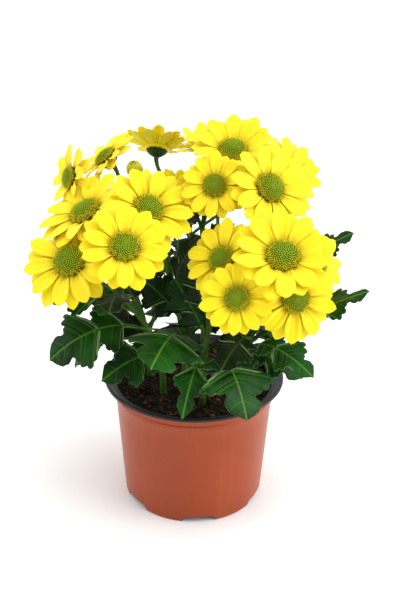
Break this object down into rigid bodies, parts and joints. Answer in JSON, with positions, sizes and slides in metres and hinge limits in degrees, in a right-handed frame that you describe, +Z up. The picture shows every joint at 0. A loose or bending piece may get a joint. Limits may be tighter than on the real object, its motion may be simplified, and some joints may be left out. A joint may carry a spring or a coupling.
{
  "type": "pot chrysanthemum",
  "caption": "Pot chrysanthemum with yellow daisy blooms on leafy stems, growing in peat in a round terracotta-coloured plastic nursery pot.",
  "frame": {"origin": "centre of the pot's base, on the surface that the pot stands on", "axes": "+Z up along the pot's axis, -Y towards the side that the picture shows, +X to its right"},
  "size_m": [0.2024, 0.1748, 0.2556],
  "materials": {
    "pot": "satin terracotta plastic, black inside and on the lip",
    "soil": "moist crumbly peat with fibres",
    "foliage": "dark green satin leaves, paler veins and undersides",
    "petal": "bright yellow, soft satin, fine lengthwise grooves",
    "floret": "yellow-green packed florets",
    "bud": "yellow-green rolled petals"
  },
  "bodies": {
    "root": {"bloom_a_disc": "floret", "bloom_a_petals": "petal", "bloom_b_disc": "floret", "bloom_b_petals": "petal", "bloom_c_disc": "floret", "bloom_c_petals": "petal", "bloom_d_disc": "floret", "bloom_d_petals": "petal", "bloom_e_disc": "floret", "bloom_e_petals": "petal", "bloom_f_disc": "floret", "bloom_f_petals": "petal", "bloom_g_disc": "floret", "bloom_g_petals": "petal", "bloom_j_disc": "floret", "bloom_j_petals": "petal", "bloom_k_disc": "floret", "bloom_k_petals": "petal", "bloom_l_disc": "floret", "bloom_l_petals": "petal", "bloom_m_disc": "floret", "bloom_m_petals": "petal", "bloom_n_disc": "floret", "bloom_n_petals": "petal", "bloom_o_disc": "floret", "bloom_o_petals": "petal", "bloom_p_disc": "floret", "bloom_p_petals": "petal", "bloom_q_disc": "floret", "bloom_q_petals": "petal", "bloom_r_disc": "floret", "bloom_r_petals": "petal", "bloom_s_disc": "floret", "bloom_s_petals": "petal", "bloom_t_disc": "floret", "bloom_t_petals": "petal", "bloom_w_disc": "floret", "bloom_w_petals": "petal", "bloom_x_disc": "floret", "bloom_x_petals": "petal", "bloom_y_disc": "floret", "bloom_y_petals": "petal", "bloom_z_disc": "floret", "bloom_z_petals": "petal", "bud": "bud", "pot": "pot", "soil": "soil", "stem_1": "foliage", "stem_2": "foliage", "stem_3": "foliage", "stem_4": "foliage", "stem_5": "foliage", "stem_6": "foliage", "stem_7": "foliage", "stem_8": "foliage"}
  },
  "joints": []
}
